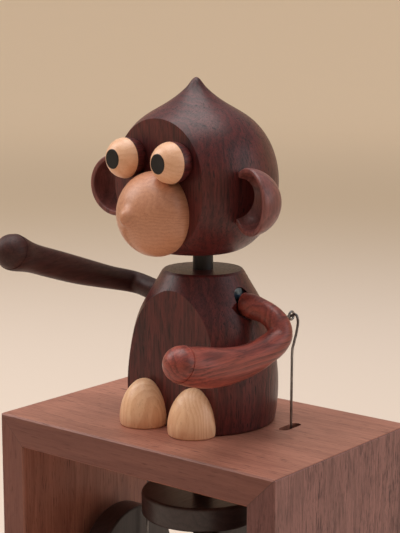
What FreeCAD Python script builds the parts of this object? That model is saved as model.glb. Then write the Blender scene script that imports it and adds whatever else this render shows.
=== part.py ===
import FreeCAD, Part, Sketcher
import math
import os

# Wooden crank automaton: a turned monkey sits on an open mitred box.  A crank on
# the right turns a shaft; two eccentrics swing the arms through wire push rods
# and a friction wheel turns the head.  Left and right are as seen from the front.
# Front is -Y, up is +Z, the origin is the middle of the underside of the box.
# Lengths are in millimetres and angles in degrees.

V = FreeCAD.Vector

SIZES = [
    # box
    ("box_width", 133.0), ("box_depth", 87.2), ("box_height", 112.0),
    ("board_thickness", 12.0), ("edge_ease", 0.6),
    # axis of the figure, as an offset from the middle of the box
    ("figure_offset_x", -1.5), ("figure_offset_y", 2.4),
    # fits
    ("running_clearance", 0.08), ("glue_clearance", 0.02), ("side_clearance", 0.5),
    ("rolling_clearance", 0.05), ("wire_clearance", 0.3),
    # figure: body
    ("body_height", 58.6), ("body_radius", 29.15), ("belly_cut", 18.8),
    ("body_edge", 0.8),
    # figure: feet
    ("foot_radius", 9.5), ("foot_height", 17.6), ("foot_spread", 11.9),
    ("foot_forward", 20.9), ("foot_edge", 0.4),
    # figure: neck and head
    ("neck_diameter", 7.8), ("neck_gap", 7.7), ("neck_seat", 14.0),
    ("head_radius", 30.9), ("head_height", 65.0), ("head_turn", -7.7),
    ("head_forward", 3.5), ("face_cut", 19.4), ("face_level", 22.2),
    # face
    ("muzzle_radius", 15.8), ("muzzle_length", 18.8), ("muzzle_drop", 6.35),
    ("muzzle_offset", 1.5), ("eye_radius", 7.65), ("eye_spread", 12.5),
    ("eye_rise", 13.4), ("eye_forward", 4.5), ("eye_split", 0.7),
    ("pupil_radius", 3.68), ("pupil_depth", 3.0), ("pupil_height", 6.85),
    ("pupil_edge", 0.37),
    # ears
    ("ear_radius", 12.25), ("ear_wall", 1.9), ("ear_spread", 36.1),
    ("ear_forward", 9.1), ("ear_toe_in", 16.0), ("ear_lip", 0.6),
    # shoulders and arms
    ("shoulder_drop", 9.1), ("shoulder_back", -1.3), ("shoulder_recess", 3.6),
    ("swing_radius", 7.5), ("swing_depth", 0.2),
    ("washer_radius", 3.8), ("washer_thickness", 1.0), ("hand_radius", 6.45),
    ("pin_diameter", 2.6), ("pin_in_body", 9.0), ("pin_in_arm", 5.0),
    # wires
    ("wire_diameter", 1.0), ("rod_spread", 34.5), ("slot_length", 11.8),
    ("slot_width", 4.0), ("slot_offset_y", 12.1), ("hook_offset", 0.5),
    ("eye_ring_radius", 1.5), ("eye_ring_wire", 0.9),
    # screw eyes of the wires, from the axis of the shoulder pin
    ("left_ring_back", 10.9), ("left_ring_rise", -2.5),
    ("right_ring_back", 12.0), ("right_ring_rise", -6.6),
    # shaft, wheels and eccentrics
    ("shaft_diameter", 8.0), ("shaft_offset_y", 4.4), ("floor_clearance", 2.85),
    ("crank_wheel_radius", 22.4), ("wheel_gap", 5.5),
    ("wheel_edge", 0.8), ("eccentric_throw", 5.5), ("eccentric_radius", 11.5),
    ("eccentric_length", 1.7), ("disc_radius", 24.1), ("disc_thickness", 9.5),
    ("disc_drop", 17.3), ("disc_edge", 1.2), ("friction_offset", 9.7),
    ("friction_thickness", 10.0),
    # crank
    ("table_clearance", 3.5), ("crank_width", 13.0), ("crank_thickness", 8.0),
    ("knob_radius", 6.8), ("knob_length", 27.0), ("knob_pin_diameter", 3.2),
    ("knob_head_radius", 3.0), ("knob_head_length", 1.2), ("cap_radius", 8.5),
    ("cap_thickness", 6.5), ("cap_seat", 4.0),
]

# Sizes that follow from the others.  The friction wheel fills the height between
# the head disc and the bottom board, and the shaft runs through its middle.
DERIVED = [
    ("friction_radius", "(box_height - 2 * board_thickness - disc_drop - disc_thickness"
                        " - rolling_clearance - floor_clearance) / 2"),
    ("shaft_rise", "board_thickness + floor_clearance + friction_radius"),
    ("crank_length", "shaft_rise - crank_width / 2 - table_clearance"),
    ("eccentric_face", "rod_spread + wire_diameter / 2 + wire_clearance + eccentric_length"),
    ("crank_wheel_thickness", "box_width / 2 - board_thickness - wheel_gap"
                              " - abs(figure_offset_x) - eccentric_face"),
    ("shoulder_height", "body_height - shoulder_drop"),
]

# Radii of the turned shapes, as fractions of (height, radius), bottom to top.
BODY_CURVE = [(0.0137, 0.960), (0.120, 0.990), (0.250, 1.0), (0.400, 0.978),
              (0.560, 0.928), (0.720, 0.838), (0.860, 0.690), (0.9863, 0.543)]
HEAD_CURVE = [(0.0, 0.477), (0.026, 0.612), (0.079, 0.752), (0.191, 0.913),
              (0.347, 1.0), (0.495, 0.988), (0.646, 0.875), (0.766, 0.661),
              (0.856, 0.355), (0.920, 0.172), (0.960, 0.091), (0.984, 0.053),
              (0.9965, 0.022), (1.0, 0.004)]
FOOT_CURVE = [(0.0227, 0.968), (0.160, 1.0), (0.380, 0.955), (0.600, 0.830),
              (0.800, 0.610), (0.930, 0.370), (1.0, 0.05)]
MUZZLE_CURVE = [(0.0, 0.985), (0.150, 1.0), (0.360, 0.945), (0.565, 0.790),
                (0.715, 0.600), (0.810, 0.400), (0.860, 0.265), (0.905, 0.205),
                (0.955, 0.155), (0.990, 0.080), (1.0, 0.020)]
KNOB_CURVE = [(0.0, 0.66), (0.12, 0.80), (0.35, 0.98), (0.60, 1.0),
              (0.82, 0.90), (0.95, 0.66), (1.0, 0.50)]

# Arm routes from the shoulder pin: outward, backward, upward, radius of the arm.
# Each arm ends in a round hand about its last point.
RIGHT_ARM = [(-0.9, 0.0, -1.5, 4.1), (2.4, 0.0, -2.1, 4.5), (4.8, 0.0, -2.6, 4.6),
             (7.5, 0.2, -3.3, 4.4), (10.4, 0.4, -4.2, 4.3), (13.4, 0.6, -5.9, 4.4),
             (16.0, 0.4, -8.5, 4.6), (17.2, -0.7, -11.3, 4.8), (17.5, -3.9, -13.6, 5.0),
             (17.4, -8.8, -15.2, 5.2), (17.2, -14.8, -16.6, 5.5),
             (16.8, -22.5, -17.5, 6.0), (16.3, -30.5, -17.5, 6.6),
             (15.8, -39.0, -16.5, 7.1), (15.1, -46.9, -14.9, 7.1),
             (14.3, -53.9, -12.7, 6.7)]
LEFT_ARM = [(-0.9, 0.0, -1.9, 4.1), (2.4, 0.1, -1.9, 4.2), (4.8, 0.4, -1.7, 4.2),
            (7.6, 0.9, -1.3, 4.2), (10.8, 1.0, -0.7, 4.2), (14.0, -0.3, 0.1, 4.3),
            (16.1, -4.8, 1.4, 4.4), (16.8, -12.6, 3.5, 4.6), (16.9, -21.5, 6.1, 5.0),
            (16.9, -30.0, 8.7, 5.3), (16.8, -38.4, 11.4, 5.4),
            (16.4, -46.8, 14.1, 5.4), (16.0, -54.0, 16.5, 5.5),
            (15.5, -59.6, 18.4, 6.2), (14.8, -64.6, 20.3, 6.7)]
# Crook at the top of each wire: outward from its stem, upward from the middle of
# the screw eye that it hangs in.
CROOK = [(0.0, -16.0), (0.2, -12.8), (1.05, -9.4), (2.0, -5.8), (2.5, -2.6),
         (2.3, -0.5), (1.4, 0.7), (0.35, 0.35), (-0.65, -0.1), (-1.6, -0.95),
         (-2.0, -2.4)]
# Angle round each ring at which its wire leaves it, up from the back.
RING_JOIN_ANGLES = {"left": 50.0, "right": 68.0}
# Crank angle of the right eccentric; the left one is opposite.
ECCENTRIC_ANGLE = 45.0

doc = FreeCAD.newDocument("CrankAutomaton")
sheet = doc.addObject("Spreadsheet::Sheet", "Sizes")
for row, (alias, number) in enumerate(SIZES + DERIVED, start=1):
    sheet.set("A%d" % row, alias)
    sheet.set("B%d" % row, "=" + str(number))
    sheet.setAlias("B%d" % row, alias)
doc.recompute()


def size(alias):
    """Return one driving dimension of the sheet."""
    return float(sheet.get(alias))


NODES = []


def keep(piece, label):
    """Name a finished piece as a node of the assembly."""
    piece.Label = label
    NODES.append(piece)
    return piece


def place(piece, expressions, axis=V(0, 0, 1), angle=0.0):
    """Turn a piece, then bind its position to the sheet."""
    piece.Placement = FreeCAD.Placement(V(0, 0, 0), FreeCAD.Rotation(axis, angle))
    for name, expression in zip("xyz", expressions):
        if expression:
            piece.setExpression(".Placement.Base." + name, expression)
    return piece


def origin_plane(body, role):
    """Find an origin plane or axis of a body by its role."""
    for feature in body.Origin.OriginFeatures:
        if feature.Role == role:
            return feature
    raise ValueError(role)


def new_body(name):
    """Start a PartDesign body."""
    return doc.addObject("PartDesign::Body", name)


def new_sketch(body, name, role):
    """Start a sketch on one of the body's own origin planes."""
    sketch = body.newObject("Sketcher::SketchObject", name)
    sketch.AttachmentSupport = [(origin_plane(body, role), "")]
    sketch.MapMode = "FlatFace"
    return sketch


def close_outline(sketch, points):
    """Draw a closed polygon through the points."""
    ring = points + [points[0]]
    for start, end in zip(ring[:-1], ring[1:]):
        sketch.addGeometry(Part.LineSegment(V(*start, 0), V(*end, 0)), False)


def add_circle(sketch, expression, radius, center=(0.0, 0.0)):
    """Draw a circle whose radius follows the sheet."""
    index = sketch.addGeometry(Part.Circle(V(*center, 0), V(0, 0, 1), radius), False)
    number = sketch.addConstraint(Sketcher.Constraint("Radius", index, radius))
    sketch.setExpression("Constraints[%d]" % number, expression)


def pad(body, sketch, name, expression, midplane=False, reverse=False):
    """Pad a sketch by a length from the sheet."""
    feature = body.newObject("PartDesign::Pad", name)
    feature.Profile = sketch
    feature.setExpression("Length", expression)
    feature.Midplane = midplane
    feature.Reversed = reverse
    body.Tip = feature
    return feature


def revolve(body, sketch, name, axis=("V_Axis",)):
    """Turn a sketch about its vertical axis."""
    feature = body.newObject("PartDesign::Revolution", name)
    feature.Profile = sketch
    feature.ReferenceAxis = (sketch, list(axis))
    feature.Angle = 360.0
    body.Tip = feature
    return feature


def turned_outline(sketch, curve, height, radius, base=0.0):
    """Half outline of a turned piece: flat base, smooth flank, small flat top."""
    points = [V(radius * share, base + height * level, 0) for level, share in curve]
    flank = Part.BSplineCurve()
    flank.interpolate(points)
    sketch.addGeometry(flank, False)
    top, bottom = points[-1], points[0]
    stops = [top, V(0, top.y, 0), V(0, bottom.y, 0), bottom]
    for start, end in zip(stops[:-1], stops[1:]):
        sketch.addGeometry(Part.LineSegment(start, end), False)


def turned_face(curve, height, radius):
    """The same half outline as a face in the XZ plane."""
    points = [V(radius * share, 0, height * level) for level, share in curve]
    flank = Part.BSplineCurve()
    flank.interpolate(points)
    top, bottom = points[-1], points[0]
    stops = [top, V(0, 0, top.z), V(0, 0, bottom.z), bottom]
    edges = [flank.toShape()]
    edges += [Part.makeLine(start, end) for start, end in zip(stops[:-1], stops[1:])]
    return Part.Face(Part.Wire(edges))


def curve_radius(curve, height, radius, level):
    """Radius of a turned shape at one level, between the points of its curve."""
    share = level / height
    for (low, r_low), (high, r_high) in zip(curve[:-1], curve[1:]):
        if low <= share <= high:
            return radius * (r_low + (r_high - r_low) * (share - low) / (high - low))
    return radius * curve[-1][1]


def solid_feature(label, shape, expressions=("", "", ""), axis=V(0, 0, 1), angle=0.0):
    """A piece whose free form is set directly."""
    piece = doc.addObject("Part::Feature", label)
    piece.Shape = shape
    place(piece, expressions, axis, angle)
    return keep(piece, label)


# Python copies of the sizes that shape free forms.
W, D, H = size("box_width"), size("box_depth"), size("box_height")
T = size("board_thickness")
FIGURE = V(size("figure_offset_x"), size("figure_offset_y"), H)
SHAFT = V(0, size("shaft_offset_y"), size("shaft_rise"))
RUN, GLUE = size("running_clearance"), size("glue_clearance")
WIRE = size("wire_diameter") / 2
SIDES = (("left", -1), ("right", 1))
UP = V(0, 0, 1)
FRONT = V(0, -1, 0)
TOLERANCE = 1e-6


# ---------------------------------------------------------------- box
def ease_ends(body, base, along):
    """Ease the long edges at the open front and back of a board."""
    doc.recompute()
    edges = []
    for number, edge in enumerate(base.Shape.Edges, start=1):
        start, end = [vertex.Point for vertex in edge.Vertexes]
        span = end - start
        if abs(abs(span.dot(along)) - span.Length) < TOLERANCE:
            edges.append("Edge%d" % number)
    chamfer = body.newObject("PartDesign::Chamfer", "EasedEnds")
    chamfer.Base = (base, edges)
    chamfer.setExpression("Size", "Sizes.edge_ease")
    body.Tip = chamfer
    return chamfer


def corner_tool(x, z, out_x, out_z):
    """Triangle that takes the sharp tip off an outer corner of the box."""
    ease = size("edge_ease")
    return [(x - 2 * ease * out_x, z + ease * out_z), (x + ease * out_x, z - 2 * ease * out_z),
            (x + ease * out_x, z + ease * out_z)]


def cut_through(body, draw, role, name):
    """Pocket through a board in both directions and check that it cuts."""
    doc.recompute()
    before = body.Shape.Volume
    sketch = new_sketch(body, name + "Outline", role)
    draw(sketch)
    pocket = body.newObject("PartDesign::Pocket", name)
    pocket.Profile = sketch
    pocket.Type = "ThroughAll"
    pocket.Midplane = True
    body.Tip = pocket
    doc.recompute()
    if body.Shape.Volume >= before:
        raise RuntimeError(name)


def ease_tips(body, corners):
    """Ease the outer tips of the mitres, which end in a knife edge."""
    def draw(sketch):
        for corner in corners:
            close_outline(sketch, corner_tool(*corner))
    cut_through(body, draw, "XZ_Plane", "EasedTips")


def flat_board(label, up):
    """Top or bottom board: mitred both ends, grain along X."""
    body = new_body(label)
    sketch = new_sketch(body, "MitredSection", "XZ_Plane")
    half, inner = W / 2, W / 2 - T
    close_outline(sketch, [(-half, 0.0), (half, 0.0), (inner, -T * up), (-inner, -T * up)])
    base = pad(body, sketch, "Board", "Sizes.box_depth", midplane=True)
    ease_ends(body, base, V(1, 0, 0))
    ease_tips(body, [(side * half, 0.0, side, up) for _, side in SIDES])
    return body


def draw_slot(sketch, x, y):
    """Round-ended slot along Y."""
    reach = (size("slot_length") - size("slot_width")) / 2
    half = size("slot_width") / 2
    top, bottom = V(x, y + reach, 0), V(x, y - reach, 0)
    sketch.addGeometry(Part.LineSegment(bottom + V(half, 0, 0), top + V(half, 0, 0)), False)
    sketch.addGeometry(Part.ArcOfCircle(Part.Circle(top, UP, half), 0, math.pi), False)
    sketch.addGeometry(Part.LineSegment(top - V(half, 0, 0), bottom - V(half, 0, 0)), False)
    sketch.addGeometry(Part.ArcOfCircle(Part.Circle(bottom, UP, half), math.pi, 2 * math.pi), False)


def draw_top_holes(sketch):
    """Neck bore and the two wire slots."""
    add_circle(sketch, "Sizes.neck_diameter / 2 + Sizes.running_clearance",
               size("neck_diameter") / 2 + RUN, (FIGURE.x, FIGURE.y))
    for _, side in SIDES:
        draw_slot(sketch, FIGURE.x + side * size("rod_spread"), size("slot_offset_y"))


top = flat_board("top_panel", 1)
cut_through(top, draw_top_holes, "XY_Plane", "NeckAndWires")
keep(place(top, ("", "", "Sizes.box_height")), "top_panel")
keep(flat_board("bottom_panel", -1), "bottom_panel")


def side_board(label, side):
    """Side board: mitred top and bottom, grain upright, shaft bore through it."""
    body = new_body(label)
    sketch = new_sketch(body, "MitredSection", "XZ_Plane")
    points = [(0.0, 0.0), (0.0, H), (-T, H - T), (-T, T)]
    close_outline(sketch, [(side * x, z) for x, z in points])
    base = pad(body, sketch, "Board", "Sizes.box_depth", midplane=True)
    ease_ends(body, base, UP)
    ease_tips(body, [(0.0, 0.0, side, -1), (0.0, H, side, 1)])
    bore = size("shaft_diameter") / 2 + RUN
    cut_through(body, lambda s: add_circle(s, "Sizes.shaft_diameter / 2 + Sizes.running_clearance",
                                           bore, (SHAFT.y, SHAFT.z)), "YZ_Plane", "ShaftBore")
    place(body, ("Sizes.box_width / 2 * %d" % side, "", ""))
    return keep(body, label)


for name, sign in SIDES:
    side_board(name + "_side_panel", sign)


# ---------------------------------------------------------------- body and feet
NECK_R = size("neck_diameter") / 2
BODY_H, BODY_R = size("body_height"), size("body_radius")
SHOULDER_Z, SHOULDER_Y = size("shoulder_height"), size("shoulder_back")
SHOULDER_X = curve_radius(BODY_CURVE, BODY_H, BODY_R, SHOULDER_Z)
SEAT_X = SHOULDER_X - size("shoulder_recess")
PIN_R = size("pin_diameter") / 2


def x_cylinder(radius, start, end, y=0.0, z=0.0):
    """Cylinder along X from start to end."""
    low, high = min(start, end), max(start, end)
    return Part.makeCylinder(radius, high - low, V(low, y, z), V(1, 0, 0))


def body_turning():
    """Turned body with softened rims at its foot and crown."""
    body = new_body("body_turning")
    sketch = new_sketch(body, "BodyOutline", "XZ_Plane")
    turned_outline(sketch, BODY_CURVE, BODY_H, BODY_R)
    revolve(body, sketch, "Turning")
    doc.recompute()
    body.Visibility = False
    edge = size("body_edge")
    foot_level, foot_r = BODY_CURVE[0][0] * BODY_H, BODY_CURVE[0][1] * BODY_R
    crown_level, crown_r = BODY_CURVE[-1][0] * BODY_H, BODY_CURVE[-1][1] * BODY_R
    foot = Part.makeCone(foot_r - edge, foot_r, foot_level)
    crown = Part.makeCone(crown_r, crown_r - edge, BODY_H - crown_level, V(0, 0, crown_level))
    return body.Shape.fuse([foot, crown]).removeSplitter()


def body_cuts():
    """Flat belly, neck bore and, on each side, room for the arm, washer and pin."""
    cuts = [Part.makeBox(2 * BODY_R, BODY_R, BODY_H, V(-BODY_R, -size("belly_cut") - BODY_R, 0)),
            Part.makeCylinder(NECK_R + RUN, BODY_H)]
    for _, side in SIDES:
        seat, pin_end = side * SEAT_X, side * (SEAT_X - size("pin_in_body"))
        flat = side * (SHOULDER_X - size("swing_depth"))
        for radius, start in ((size("washer_radius") + size("wire_clearance"), seat),
                              (size("swing_radius"), flat)):
            cuts.append(x_cylinder(radius, start, side * 2 * BODY_R, SHOULDER_Y, SHOULDER_Z))
        cuts.append(x_cylinder(PIN_R + GLUE, pin_end, seat, SHOULDER_Y, SHOULDER_Z))
    return cuts


FIGURE_AT = ("Sizes.figure_offset_x", "Sizes.figure_offset_y", "Sizes.box_height")
solid_feature("body", body_turning().cut(body_cuts()), FIGURE_AT)


def make_foot(label, side):
    """Half-egg foot, cut flat where it meets the belly."""
    height, radius = size("foot_height"), size("foot_radius")
    dome = turned_face(FOOT_CURVE, height, radius).revolve(V(0, 0, 0), V(0, 0, 1), 360)
    sole = Part.makeCone(FOOT_CURVE[0][1] * radius - size("foot_edge"),
                         FOOT_CURVE[0][1] * radius, FOOT_CURVE[0][0] * height)
    foot = dome.fuse(sole).removeSplitter()
    back = size("foot_forward") - size("belly_cut")
    foot = foot.cut(Part.makeBox(4 * radius, 2 * radius, 2 * height,
                                 V(-2 * radius, back, -height / 2)))
    at = ("Sizes.figure_offset_x + Sizes.foot_spread * %d" % side,
          "Sizes.figure_offset_y - Sizes.foot_forward", "Sizes.box_height")
    solid_feature(label, foot, at)


for name, sign in SIDES:
    make_foot(name + "_foot", sign)


# ---------------------------------------------------------------- head
HEAD_R, HEAD_H = size("head_radius"), size("head_height")
HEAD_Z = BODY_H + size("neck_gap")
TURN = size("head_turn")
FACE = size("face_cut")
MIDDLE = size("face_level")
HEAD_AT = ("Sizes.figure_offset_x + Sizes.head_forward * sin(Sizes.head_turn * 1deg)",
           "Sizes.figure_offset_y - Sizes.head_forward * cos(Sizes.head_turn * 1deg)",
           "Sizes.box_height + Sizes.body_height + Sizes.neck_gap")


def onion():
    """The turned head before its face is cut."""
    return turned_face(HEAD_CURVE, HEAD_H, HEAD_R).revolve(V(0, 0, 0), UP, 360)


def head_feature(label, shape):
    """A piece made in the frame of the head."""
    return solid_feature(label, shape, HEAD_AT, UP, TURN)


def make_head():
    """Onion-shaped head: flat face, blind bore for the neck behind the middle."""
    face = Part.makeBox(4 * HEAD_R, 2 * HEAD_R, 2 * HEAD_H,
                        V(-2 * HEAD_R, -FACE - 2 * HEAD_R, -HEAD_H / 2))
    bore = Part.makeCylinder(NECK_R + GLUE, size("neck_seat"),
                             V(0, size("head_forward"), 0))
    return onion().cut([face, bore])


head_feature("head", make_head())

EYE_R = size("eye_radius")
PUPIL_R = size("pupil_radius")
EYE_Y = -FACE - size("eye_forward")
SPLIT_Y = EYE_Y - size("eye_split")
PUPIL_FRONT = EYE_Y - size("pupil_height")
PUPIL_BACK = PUPIL_FRONT + size("pupil_depth")


def y_slab(front, back):
    """Wide slab between two planes across Y."""
    return Part.makeBox(4 * HEAD_R, back - front, 4 * HEAD_R,
                        V(-2 * HEAD_R, front, -HEAD_R))


def eye_middle(side):
    """Middle of an eye ball."""
    return V(side * size("eye_spread"), EYE_Y, MIDDLE + size("eye_rise"))


def make_muzzle():
    """Turned muzzle with a small nose, glued to the face and hollowed for the eyes."""
    base = V(size("muzzle_offset"), -FACE, MIDDLE - size("muzzle_drop"))
    turning = turned_face(MUZZLE_CURVE, size("muzzle_length"), size("muzzle_radius"))
    turning = turning.revolve(V(0, 0, 0), UP, 360)
    to_face = FreeCAD.Placement(base, FreeCAD.Rotation(UP, FRONT))
    seats = [Part.makeSphere(EYE_R + GLUE, eye_middle(side)) for _, side in SIDES]
    head_feature("muzzle", turning.transformed(to_face.toMatrix(), copy=True).cut(seats))


make_muzzle()


def make_eye(name, side):
    """Maple ball front, walnut back half and black pupil plug."""
    middle = eye_middle(side)
    ball = Part.makeSphere(EYE_R, middle)
    front = ball.common(y_slab(EYE_Y - 2 * EYE_R, SPLIT_Y))
    socket = Part.makeCylinder(PUPIL_R + GLUE, EYE_R,
                               V(middle.x, PUPIL_BACK, middle.z), FRONT)
    head_feature(name + "_eye", front.cut(socket))
    head_feature(name + "_eye_back", ball.common(y_slab(SPLIT_Y, -FACE)))
    plug = Part.makeCylinder(PUPIL_R, size("pupil_depth"),
                             V(middle.x, PUPIL_BACK, middle.z), FRONT)
    rim = [edge for edge in plug.Edges
           if abs(edge.CenterOfMass.y - PUPIL_FRONT) < TOLERANCE and len(edge.Vertexes) == 1]
    head_feature(name + "_pupil", plug.makeFillet(size("pupil_edge"), rim))


def make_ear(name, side):
    """Half-round cup, open to the front, trimmed to the side of the head."""
    radius = size("ear_radius")
    cup = Part.makeSphere(radius).cut(Part.makeSphere(radius - size("ear_wall")))
    cup = cup.common(Part.makeBox(4 * radius, 2 * radius, 4 * radius,
                                  V(-2 * radius, 0, -2 * radius)))
    rim = [edge for edge in cup.Edges
           if abs(edge.CenterOfMass.y) < TOLERANCE and edge.Length > 2 * radius]
    cup = cup.makeFillet(size("ear_lip"), rim)
    middle = V(side * size("ear_spread"), -size("ear_forward"), MIDDLE)
    yaw = FreeCAD.Rotation(UP, -side * size("ear_toe_in"))
    cup.Placement = FreeCAD.Placement(middle, yaw)
    head_feature(name + "_ear", cup.cut(onion()))


for name, sign in SIDES:
    make_eye(name, sign)
    make_ear(name, sign)


# ---------------------------------------------------------------- arms and wires
def arm_shape(route, side):
    """Bent arm as a loft through round sections, ending in a round hand."""
    points = [V(side * x, y, z) for x, y, z, _ in route]
    path = Part.BSplineCurve()
    path.interpolate(points)
    sections = []
    for point, (_, _, _, radius) in zip(points, route):
        tangent = path.tangent(path.parameter(point))[0]
        ring = Part.Circle(point, tangent, radius)
        ring.XAxis = (UP - tangent * UP.dot(tangent)).normalize()
        sections.append(Part.Wire(ring.toShape()))
    hand = Part.makeSphere(size("hand_radius"), points[-1])
    return Part.makeLoft(sections, True, False).fuse(hand).removeSplitter()


ARMS = {"left": LEFT_ARM, "right": RIGHT_ARM}
ARM_GAP = size("wire_clearance")


def make_arm(name, side):
    """Arm, shoulder pin and washer on the pin's axis."""
    seat = size("shoulder_recess")
    pin_end = size("pin_in_arm")
    arm = arm_shape(ARMS[name], side).cut([x_cylinder(BODY_R, -side * BODY_R, side * ARM_GAP),
                                      x_cylinder(PIN_R + RUN, 0, side * pin_end)])
    shank_x = side * (size("rod_spread") - size("hook_offset") - SHOULDER_X)
    bore = Part.makeCylinder(size("eye_ring_wire") / 2 + GLUE, 2 * size(name + "_ring_back"),
                             V(shank_x, 0, size(name + "_ring_rise")), V(0, 1, 0))
    at = ("Sizes.figure_offset_x + %r" % (side * SHOULDER_X),
          "Sizes.figure_offset_y + Sizes.shoulder_back",
          "Sizes.box_height + Sizes.shoulder_height")
    solid_feature(name + "_arm", arm.cut(bore), at)
    pin = x_cylinder(PIN_R, side * (-seat - size("pin_in_body")),
                     side * (pin_end - ARM_GAP))
    solid_feature(name + "_shoulder_pin", pin, at)
    washer = x_cylinder(size("washer_radius"), -side * seat,
                        side * (size("washer_thickness") - seat))
    washer = washer.cut(x_cylinder(PIN_R + GLUE, -side * 3 * seat, side * 3 * seat))
    solid_feature(name + "_shoulder_washer", washer, at)


def make_wire_eye(name, side):
    """Screw eye in the back of the elbow: shank along Y, ring about X."""
    major, minor = size("eye_ring_radius"), size("eye_ring_wire") / 2
    ring = Part.makeTorus(major, minor, V(0, 0, 0), V(1, 0, 0))
    shank = Part.makeCylinder(minor, size(name + "_ring_back") - major, V(0, -major, 0),
                              V(0, -1, 0))
    at = ("Sizes.figure_offset_x + (Sizes.rod_spread - Sizes.hook_offset) * %d" % side,
          "Sizes.figure_offset_y + Sizes.shoulder_back + Sizes.%s_ring_back" % name,
          "Sizes.box_height + Sizes.shoulder_height + Sizes.%s_ring_rise" % name)
    solid_feature(name + "_wire_eye", ring.fuse(shank), at)


def eccentric_center(side):
    """Middle of an eccentric in Y and Z at rest."""
    angle = math.radians(ECCENTRIC_ANGLE)
    throw = size("eccentric_throw") * side
    return SHAFT + V(0, throw * math.cos(angle), throw * math.sin(angle))


RING_R = size("eccentric_radius") + RUN + WIRE


def make_push_rod(name, side):
    """Wire: crook through the screw eye, straight stem, ring round the eccentric."""
    x_rod = FIGURE.x + side * size("rod_spread")
    offset = size("hook_offset")
    top = V(x_rod - side * offset, FIGURE.y + SHOULDER_Y + size(name + "_ring_back"),
            H + SHOULDER_Z + size(name + "_ring_rise"))
    join_angle = math.radians(RING_JOIN_ANGLES[name])
    middle = eccentric_center(side)
    foot_y = middle.y + RING_R * math.cos(join_angle)
    foot_z = middle.z + RING_R * math.sin(join_angle)
    reach = math.hypot(foot_y - top.y, foot_z - top.z)
    tilt = math.degrees(math.atan2(foot_y - top.y, top.z - foot_z))
    points = [V(side * (offset + x), 0, z) for x, z in CROOK]
    crook = Part.BSplineCurve()
    crook.interpolate(Points=points, InitialTangent=UP, FinalTangent=-UP)
    foot = V(side * offset, 0, -reach)
    path = Part.Wire([Part.makeLine(foot, points[0]), crook.toShape()])
    section = Part.Wire(Part.makeCircle(WIRE, foot, UP))
    wire = path.makePipeShell([section], True, False)
    wire.Placement = FreeCAD.Placement(top, FreeCAD.Rotation(V(1, 0, 0), tilt))
    loop = Part.makeTorus(RING_R, WIRE, V(x_rod, middle.y, middle.z), V(1, 0, 0))
    solid_feature(name + "_push_rod", wire.fuse(loop))


for name, sign in SIDES:
    make_arm(name, sign)
    make_wire_eye(name, sign)
    make_push_rod(name, sign)


# ---------------------------------------------------------------- shaft and wheels
SHAFT_R = size("shaft_diameter") / 2
SHAFT_AT = ("", "Sizes.shaft_offset_y", "Sizes.shaft_rise")

shaft = doc.addObject("Part::Cylinder", "ShaftBar")
shaft.setExpression("Radius", "Sizes.shaft_diameter / 2")
shaft.setExpression("Height", "Sizes.box_width + 2 * Sizes.side_clearance"
                              " + Sizes.cap_seat + Sizes.crank_thickness")
place(shaft, ("-Sizes.box_width / 2 - Sizes.side_clearance - Sizes.cap_seat",) + SHAFT_AT[1:],
      V(0, 1, 0), 90)
keep(shaft, "crank_shaft")


def wheel_body(label, radius_expression, radius, width_expression, at, axis_x=True):
    """Flat wheel with rounded rims, bored for its shaft."""
    body = new_body(label)
    sketch = new_sketch(body, "WheelOutline", "XY_Plane")
    add_circle(sketch, radius_expression, radius)
    bore_name = "Sizes.shaft_diameter" if axis_x else "Sizes.neck_diameter"
    bore = SHAFT_R if axis_x else NECK_R
    add_circle(sketch, bore_name + " / 2 + Sizes.glue_clearance", bore + GLUE)
    base = pad(body, sketch, "Wheel", width_expression, midplane=True)
    doc.recompute()
    rims = []
    for number, edge in enumerate(base.Shape.Edges, start=1):
        if len(edge.Vertexes) == 1 and edge.Curve.Radius > (bore + radius) / 2:
            rims.append("Edge%d" % number)
    rounding = body.newObject("PartDesign::Fillet", "RoundedRims")
    rounding.Base = (base, rims)
    rounding.setExpression("Radius", "Sizes.wheel_edge" if axis_x else "Sizes.disc_edge")
    body.Tip = rounding
    place(body, at, V(0, 1, 0), 90 if axis_x else 0)
    return keep(body, label)


# The eccentrics stop just short of the plane of the wire rings.
for name, sign in SIDES:
    wheel_x = ("Sizes.figure_offset_x + (Sizes.eccentric_face"
               " + Sizes.crank_wheel_thickness / 2) * %d" % sign)
    wheel_body(name + "_crank_wheel", "Sizes.crank_wheel_radius", size("crank_wheel_radius"),
               "Sizes.crank_wheel_thickness", (wheel_x,) + SHAFT_AT[1:])

wheel_body("friction_wheel", "Sizes.friction_radius", size("friction_radius"),
           "Sizes.friction_thickness",
           ("Sizes.figure_offset_x + Sizes.friction_offset",) + SHAFT_AT[1:])
DISC_Z = ("Sizes.box_height - Sizes.board_thickness - Sizes.disc_drop"
          " - Sizes.disc_thickness / 2")
wheel_body("head_disc", "Sizes.disc_radius", size("disc_radius"), "Sizes.disc_thickness",
           FIGURE_AT[:2] + (DISC_Z,), axis_x=False)


def make_eccentric(name, side):
    """Thin eccentric on the inner face of a crank wheel, clear of the shaft."""
    middle = eccentric_center(side)
    start = size("eccentric_face") - size("eccentric_length")
    x_in = FIGURE.x + side * start
    x_out = x_in + side * size("eccentric_length")
    boss = x_cylinder(size("eccentric_radius"), x_in, x_out, middle.y, middle.z)
    bore = x_cylinder(SHAFT_R + GLUE, x_in - side * start, x_out + side * start,
                      SHAFT.y, SHAFT.z)
    solid_feature(name + "_eccentric", boss.cut(bore))


for name, sign in SIDES:
    make_eccentric(name, sign)

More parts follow.
